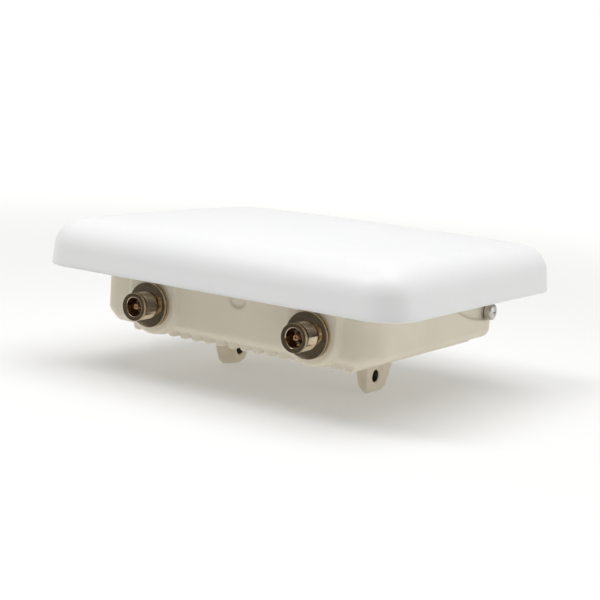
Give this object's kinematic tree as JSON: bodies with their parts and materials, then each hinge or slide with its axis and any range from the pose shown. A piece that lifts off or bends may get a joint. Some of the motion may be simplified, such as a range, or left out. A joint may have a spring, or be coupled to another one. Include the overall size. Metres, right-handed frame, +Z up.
{
  "type": "outdoor wireless bridge",
  "caption": "Pole-held outdoor radio bridge: rounded white radome over a finned cast housing, N-type jacks on the front wall, ground screw, rear cable gland and drilled bracket lugs below.",
  "frame": {"origin": "on the bracket pivot's axis, midway between the two lugs under the housing", "axes": "+X along the pivot towards the ground screw's wall, -Y out of the antenna jacks, +Z up through the radome"},
  "size_m": [0.24, 0.2, 0.0938],
  "materials": {
    "radome_plastic": "satin white UV-stable moulding, fine spark texture",
    "gasket_rubber": "matt black silicone",
    "stainless_steel": "stainless, turned faces",
    "housing_paint": "warm grey powder coat on die-cast aluminium",
    "jack_nickel": "warm bright nickel plate, turned",
    "insulator_ptfe": "waxy white PTFE",
    "contact_gold": "gold plate",
    "coax_jacket": "brown fluoropolymer jacket",
    "gland_nylon": "moulded dark grey nylon",
    "white_nylon": "moulded natural nylon",
    "lens_clear": "clear polycarbonate",
    "led_resin": "diffused resin",
    "board_green": "green solder mask on glass laminate",
    "chip_black": "moulded epoxy",
    "thermal_pad": "soft filled silicone",
    "plated_steel": "tinned steel sheet",
    "winding_copper": "enamelled winding and ferrite",
    "capacitor_sleeve": "shrink sleeve",
    "arrester_ceramic": "glazed ceramic with metal ends",
    "connector_plastic": "heat-proof connector plastic",
    "aluminium_sheet": "brushed sheet",
    "laminate": "low-loss antenna laminate",
    "patch_copper": "etched copper, lightly oxidised"
  },
  "bodies": {
    "unit": {"radome": "radome_plastic", "radome_gasket": "gasket_rubber", "radome_screws": "stainless_steel", "back_plate": "aluminium_sheet", "back_plate_gasket": "gasket_rubber", "back_plate_screws": "stainless_steel", "base_housing": "housing_paint", "left_lug": "housing_paint", "right_lug": "housing_paint", "left_jack_body": "jack_nickel", "left_jack_insulator": "insulator_ptfe", "left_jack_contact": "contact_gold", "left_jack_seal": "gasket_rubber", "left_jack_washer": "jack_nickel", "left_jack_nut": "jack_nickel", "left_jack_lead": "coax_jacket", "right_jack_body": "jack_nickel", "right_jack_insulator": "insulator_ptfe", "right_jack_contact": "contact_gold", "right_jack_seal": "gasket_rubber", "right_jack_washer": "jack_nickel", "right_jack_nut": "jack_nickel", "right_jack_lead": "coax_jacket", "gland_body": "gland_nylon", "gland_seal": "gasket_rubber", "gland_o_ring": "gasket_rubber", "gland_locknut": "jack_nickel", "vent_plug": "gland_nylon", "vent_membrane": "white_nylon", "status_lenses": "lens_clear", "status_leds": "led_resin", "main_board": "board_green", "board_screws": "stainless_steel", "processor": "chip_black", "heat_pad": "thermal_pad", "memory_chips": "chip_black", "ethernet_jack": "plated_steel", "ethernet_magnetics": "chip_black", "power_transformer": "winding_copper", "power_choke": "winding_copper", "capacitors": "capacitor_sleeve", "surge_arresters": "arrester_ceramic", "radio_card": "board_green", "radio_card_socket": "connector_plastic", "radio_card_spacers": "white_nylon", "radio_shields": "plated_steel", "antenna_board": "laminate", "antenna_spacers": "white_nylon", "antenna_patches": "patch_copper", "antenna_lead": "coax_jacket"},
    "ground_washers": {"ground_flat_washer": "stainless_steel", "ground_spring_washer": "stainless_steel"},
    "ground_screw": {"ground_screw": "stainless_steel"},
    "gland_thrust": {"gland_thrust_ring": "white_nylon"},
    "gland_nut": {"gland_nut": "gland_nylon"}
  },
  "joints": [
    {"name": "ground_screw_turn", "type": "hinge", "parent": "ground_washers", "child": "ground_screw", "pos_m": [0.0925, 0.0545, 0.0388], "axis": [1, 0, 0], "range_deg": [0, 1350.6]},
    {"name": "ground_washers_lift", "type": "slide", "parent": "unit", "child": "ground_washers", "axis": [1, 0, 0], "range_m": [0, 0.003]},
    {"name": "gland_nut_turn", "type": "hinge", "parent": "gland_thrust", "child": "gland_nut", "pos_m": [-0.045, 0.08, 0.038], "axis": [0, 1, 0], "range_deg": [0, 900]},
    {"name": "gland_thrust_lift", "type": "slide", "parent": "unit", "child": "gland_thrust", "axis": [0, 1, 0], "range_m": [0, 0.00376]}
  ],
  "couplings": [
    {"joint": "ground_screw_turn", "follows": "ground_washers_lift", "rad_per_m": 7854},
    {"joint": "gland_thrust_lift", "follows": "gland_nut_turn", "m_per_rad": 0.00023873}
  ]
}
